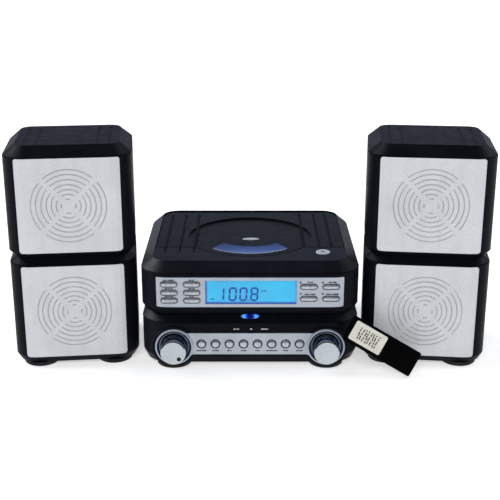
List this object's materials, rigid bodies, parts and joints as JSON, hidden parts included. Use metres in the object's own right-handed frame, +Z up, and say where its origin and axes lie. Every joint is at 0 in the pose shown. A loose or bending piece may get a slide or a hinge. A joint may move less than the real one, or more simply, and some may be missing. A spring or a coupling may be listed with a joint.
{
  "type": "mini hifi system",
  "caption": "Mini hifi system: two-deck main unit with hinged disc lid, lit display, keys and turning knobs, a pair of stacked-cube loudspeakers and a card remote.",
  "frame": {"origin": "on the floor, at the middle of the whole system's box", "axes": "+X to the system's right as the listener sees it, +Y from front to back, +Z up"},
  "size_m": [0.5166, 0.2352, 0.238],
  "materials": {
    "casing": "fine-textured charcoal",
    "black_plastic": "satin",
    "remote_black": "satin gloss",
    "keypad": "matte membrane",
    "silver_panel": "fine satin",
    "chrome": "polished",
    "grille_metal": "perforated, silver grey",
    "foot_rubber": "matte",
    "blue_light": "lit lens",
    "clear_window": "polished",
    "display": "backlit blue",
    "blue_window": "tinted, polished",
    "circuit_board": "solder mask",
    "steel_sheet": "satin black",
    "socket_metal": "plated",
    "iron": "lacquered",
    "heat_sink": "extruded",
    "cone_paper": "pressed paper"
  },
  "bodies": {
    "main_unit": {"lower_case": "casing", "base_plate": "steel_sheet", "main_feet": "foot_rubber", "case_screws": "steel_sheet", "lower_bezel": "silver_panel", "status_light": "blue_light", "rear_panel": "casing", "rear_sockets": "socket_metal", "power_inlet": "black_plastic", "main_board": "circuit_board", "transformer": "iron", "heat_sink": "heat_sink", "upper_case": "casing", "upper_bezel": "silver_panel", "lcd_window": "clear_window", "lcd_module": "display", "key_boards": "circuit_board", "encoders": "socket_metal", "disc_well": "black_plastic", "mech_chassis": "steel_sheet", "spindle_motor": "socket_metal"},
    "disc_lid": {"cd_lid": "casing", "lid_window": "blue_window"},
    "open_button": {"open_button": "chrome"},
    "volume_knob": {"volume_knob": "chrome"},
    "tuning_knob": {"tuning_knob": "chrome"},
    "spindle_hub": {"spindle_hub": "black_plastic"},
    "pickup_sled": {"pickup_sled": "black_plastic"},
    "lead_screw": {"lead_screw": "socket_metal"},
    "speaker_left": {"speaker_left_cabinet": "casing", "speaker_left_grilles": "grille_metal", "speaker_left_drivers": "iron", "speaker_left_feet": "foot_rubber"},
    "speaker_right": {"speaker_right_cabinet": "casing", "speaker_right_grilles": "grille_metal", "speaker_right_drivers": "iron", "speaker_right_feet": "foot_rubber"},
    "cones_left": {"speaker_left_cones": "cone_paper"},
    "cones_right": {"speaker_right_cones": "cone_paper"},
    "remote": {"remote_case": "remote_black", "remote_keypad": "keypad"},
    "battery_tray": {"battery_tray": "black_plastic"},
    "key_clock_up": {"key_clock_up": "chrome"},
    "key_clock_mid": {"key_clock_mid": "chrome"},
    "key_clock_low": {"key_clock_low": "chrome"},
    "key_timer_up": {"key_timer_up": "chrome"},
    "key_timer_mid": {"key_timer_mid": "chrome"},
    "key_timer_low": {"key_timer_low": "chrome"},
    "key_band_up": {"key_band_up": "chrome"},
    "key_band_low": {"key_band_low": "chrome"},
    "key_power_up": {"key_power_up": "chrome"},
    "key_power_low": {"key_power_low": "chrome"},
    "key_round_1": {"key_round_1": "chrome"},
    "key_round_2": {"key_round_2": "chrome"},
    "key_round_3": {"key_round_3": "chrome"},
    "key_round_4": {"key_round_4": "chrome"},
    "key_round_5": {"key_round_5": "chrome"},
    "key_round_6": {"key_round_6": "chrome"},
    "key_round_7": {"key_round_7": "chrome"},
    "key_round_8": {"key_round_8": "chrome"}
  },
  "joints": [
    {"name": "lid_hinge", "type": "hinge", "parent": "main_unit", "child": "disc_lid", "pos_m": [0, 0.0977, 0.1118], "axis": [-1, 0, 0], "range_deg": [0, 70]},
    {"name": "open_press", "type": "slide", "parent": "main_unit", "child": "open_button", "axis": [0, 0, -1], "range_m": [0, 0.002], "stiffness_N_per_m": 400, "springref_m": -0.0008},
    {"name": "volume_turn", "type": "hinge", "parent": "main_unit", "child": "volume_knob", "pos_m": [-0.08, -0.0893, 0.0246], "axis": [0, 1, 0], "continuous": true},
    {"name": "tuning_turn", "type": "hinge", "parent": "main_unit", "child": "tuning_knob", "pos_m": [0.08, -0.0893, 0.0246], "axis": [0, 1, 0], "continuous": true},
    {"name": "disc_spin", "type": "hinge", "parent": "main_unit", "child": "spindle_hub", "pos_m": [0, 0.0067, 0.1], "axis": [0, 0, 1], "continuous": true},
    {"name": "sled_travel", "type": "slide", "parent": "main_unit", "child": "pickup_sled", "axis": [0, -1, 0], "range_m": [0, 0.0265]},
    {"name": "screw_turn", "type": "hinge", "parent": "main_unit", "child": "lead_screw", "pos_m": [-0.026, -0.0143, 0.091], "axis": [0, 1, 0], "continuous": true},
    {"name": "key_clock_up_press", "type": "slide", "parent": "main_unit", "child": "key_clock_up", "axis": [0, 1, 0], "range_m": [0, 0.0008], "stiffness_N_per_m": 300, "springref_m": -0.0006},
    {"name": "key_clock_mid_press", "type": "slide", "parent": "main_unit", "child": "key_clock_mid", "axis": [0, 1, 0], "range_m": [0, 0.0008], "stiffness_N_per_m": 300, "springref_m": -0.0006},
    {"name": "key_clock_low_press", "type": "slide", "parent": "main_unit", "child": "key_clock_low", "axis": [0, 1, 0], "range_m": [0, 0.0008], "stiffness_N_per_m": 300, "springref_m": -0.0006},
    {"name": "key_timer_up_press", "type": "slide", "parent": "main_unit", "child": "key_timer_up", "axis": [0, 1, 0], "range_m": [0, 0.0008], "stiffness_N_per_m": 300, "springref_m": -0.0006},
    {"name": "key_timer_mid_press", "type": "slide", "parent": "main_unit", "child": "key_timer_mid", "axis": [0, 1, 0], "range_m": [0, 0.0008], "stiffness_N_per_m": 300, "springref_m": -0.0006},
    {"name": "key_timer_low_press", "type": "slide", "parent": "main_unit", "child": "key_timer_low", "axis": [0, 1, 0], "range_m": [0, 0.0008], "stiffness_N_per_m": 300, "springref_m": -0.0006},
    {"name": "key_band_up_press", "type": "slide", "parent": "main_unit", "child": "key_band_up", "axis": [0, 1, 0], "range_m": [0, 0.0008], "stiffness_N_per_m": 300, "springref_m": -0.0006},
    {"name": "key_band_low_press", "type": "slide", "parent": "main_unit", "child": "key_band_low", "axis": [0, 1, 0], "range_m": [0, 0.0008], "stiffness_N_per_m": 300, "springref_m": -0.0006},
    {"name": "key_power_up_press", "type": "slide", "parent": "main_unit", "child": "key_power_up", "axis": [0, 1, 0], "range_m": [0, 0.0008], "stiffness_N_per_m": 300, "springref_m": -0.0006},
    {"name": "key_power_low_press", "type": "slide", "parent": "main_unit", "child": "key_power_low", "axis": [0, 1, 0], "range_m": [0, 0.0008], "stiffness_N_per_m": 300, "springref_m": -0.0006},
    {"name": "key_round_1_press", "type": "slide", "parent": "main_unit", "child": "key_round_1", "axis": [0, 1, 0], "range_m": [0, 0.0008], "stiffness_N_per_m": 300, "springref_m": -0.0006},
    {"name": "key_round_2_press", "type": "slide", "parent": "main_unit", "child": "key_round_2", "axis": [0, 1, 0], "range_m": [0, 0.0008], "stiffness_N_per_m": 300, "springref_m": -0.0006},
    {"name": "key_round_3_press", "type": "slide", "parent": "main_unit", "child": "key_round_3", "axis": [0, 1, 0], "range_m": [0, 0.0008], "stiffness_N_per_m": 300, "springref_m": -0.0006},
    {"name": "key_round_4_press", "type": "slide", "parent": "main_unit", "child": "key_round_4", "axis": [0, 1, 0], "range_m": [0, 0.0008], "stiffness_N_per_m": 300, "springref_m": -0.0006},
    {"name": "key_round_5_press", "type": "slide", "parent": "main_unit", "child": "key_round_5", "axis": [0, 1, 0], "range_m": [0, 0.0008], "stiffness_N_per_m": 300, "springref_m": -0.0006},
    {"name": "key_round_6_press", "type": "slide", "parent": "main_unit", "child": "key_round_6", "axis": [0, 1, 0], "range_m": [0, 0.0008], "stiffness_N_per_m": 300, "springref_m": -0.0006},
    {"name": "key_round_7_press", "type": "slide", "parent": "main_unit", "child": "key_round_7", "axis": [0, 1, 0], "range_m": [0, 0.0008], "stiffness_N_per_m": 300, "springref_m": -0.0006},
    {"name": "key_round_8_press", "type": "slide", "parent": "main_unit", "child": "key_round_8", "axis": [0, 1, 0], "range_m": [0, 0.0008], "stiffness_N_per_m": 300, "springref_m": -0.0006},
    {"name": "speaker_left_place", "type": "slide", "parent": "main_unit", "child": "speaker_left", "axis": [-1, 0, 0], "range_m": [0, 0.25]},
    {"name": "cones_left_stroke", "type": "slide", "parent": "speaker_left", "child": "cones_left", "axis": [0.1045, -0.9945, 0], "range_m": [-0.002, 0.002], "stiffness_N_per_m": 1500},
    {"name": "speaker_right_place", "type": "slide", "parent": "main_unit", "child": "speaker_right", "axis": [1, 0, 0], "range_m": [0, 0.25]},
    {"name": "cones_right_stroke", "type": "slide", "parent": "speaker_right", "child": "cones_right", "axis": [-0.1045, -0.9945, 0], "range_m": [-0.002, 0.002], "stiffness_N_per_m": 1500},
    {"name": "remote_lift", "type": "slide", "parent": "main_unit", "child": "remote", "axis": [0, -0.9455, 0.3256], "range_m": [0, 0.15]},
    {"name": "battery_slide", "type": "slide", "parent": "remote", "child": "battery_tray", "axis": [0.5, 0.282, 0.8188], "range_m": [0, 0.022]}
  ],
  "couplings": [
    {"joint": "screw_turn", "follows": "sled_travel", "rad_per_m": -2094.4}
  ]
}
